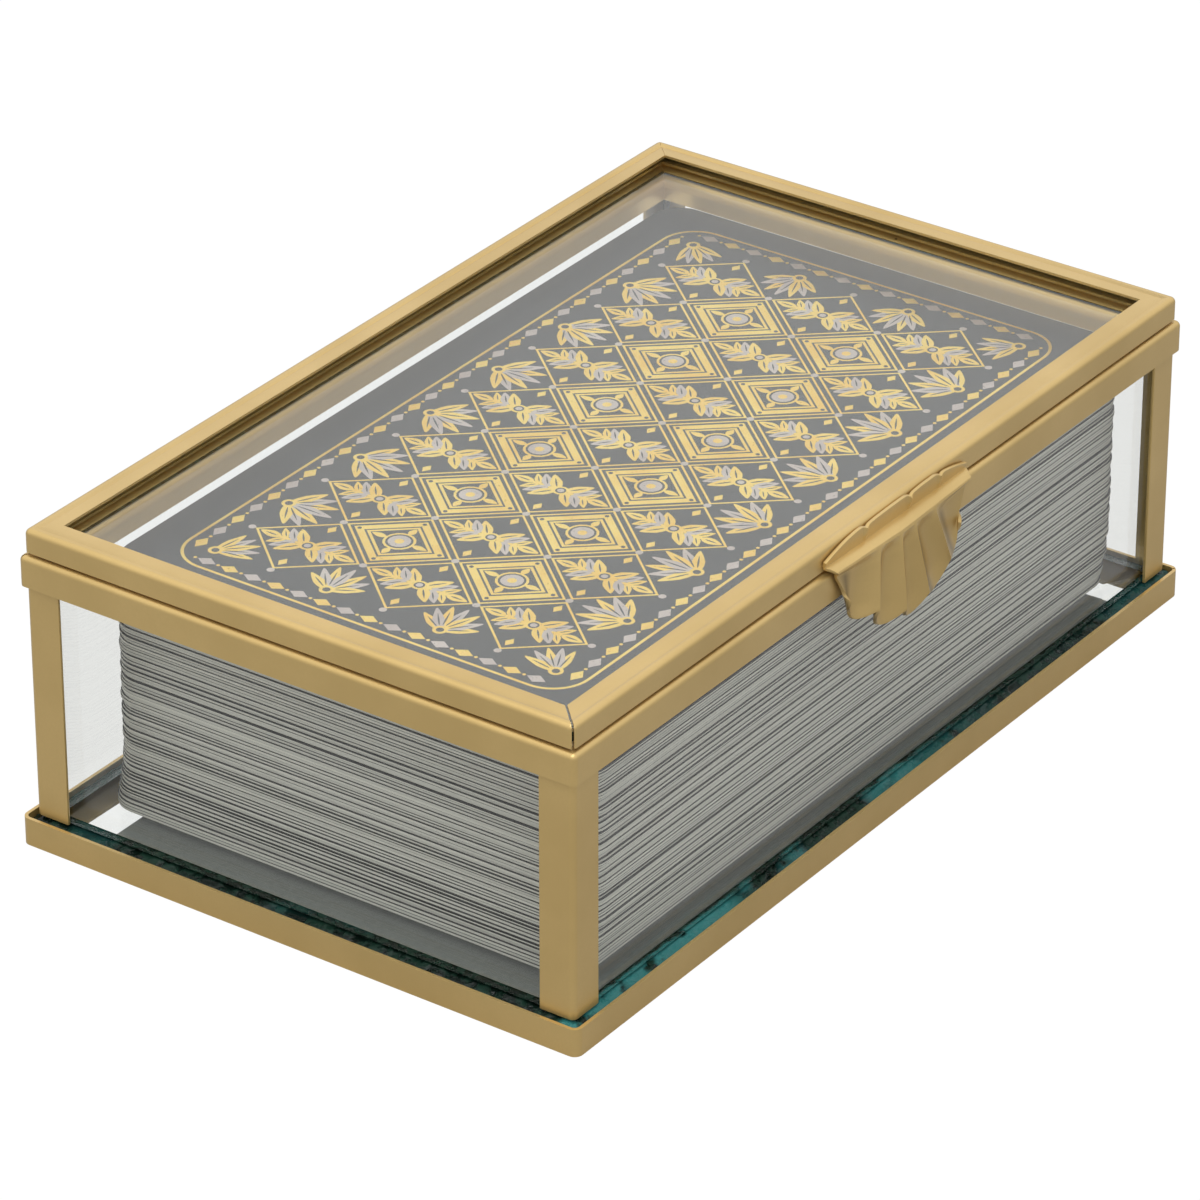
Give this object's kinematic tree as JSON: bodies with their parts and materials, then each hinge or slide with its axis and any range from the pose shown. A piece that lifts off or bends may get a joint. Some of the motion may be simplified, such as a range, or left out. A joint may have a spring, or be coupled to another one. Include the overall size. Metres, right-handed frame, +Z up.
{
  "type": "tarot deck in a glass keepsake box",
  "caption": "Stacked tarot cards in a glass box with brass strip edges, a hinged glass lid and a scallop-shaped lifting tab.",
  "frame": {"origin": "centre of the box's base, on the surface that it stands on", "axes": "+X along the long side, -Y towards the lifting tab, +Y towards the hinges, +Z up"},
  "size_m": [0.136, 0.0881, 0.0438],
  "materials": {
    "brass": "satin, lightly aged",
    "glass": "clear, with dark green cut edges",
    "liner": "matt",
    "card": "cut edges, silk coated faces",
    "card_back": "silk coated, with gold foil"
  },
  "bodies": {
    "base": {"base_frame": "brass", "base_liner": "liner", "floor_pane": "glass", "post_front_left": "brass", "post_front_right": "brass", "post_rear_left": "brass", "post_rear_right": "brass", "pane_front": "glass", "pane_rear": "glass", "pane_left": "glass", "pane_right": "glass", "base_rim": "brass", "hinge_base_leaf_left": "brass", "hinge_base_leaf_right": "brass", "hinge_pin_left": "brass", "hinge_pin_right": "brass"},
    "lid": {"lid_frame": "brass", "lid_pane": "glass", "shell_tab": "brass", "hinge_lid_leaf_left": "brass", "hinge_lid_leaf_right": "brass"},
    "deck": {"top_card": "card_back", "trump_cards": "card", "wand_cards": "card", "cup_cards": "card", "sword_cards": "card", "coin_cards": "card"}
  },
  "joints": [
    {"name": "lid_hinge", "type": "hinge", "parent": "base", "child": "lid", "pos_m": [0, 0.042, 0.03979], "axis": [-1, 0, 0], "range_deg": [0, 108]},
    {"name": "deck_lift", "type": "slide", "parent": "base", "child": "deck", "axis": [0, 0, 1], "range_m": [0, 0.0043]}
  ]
}
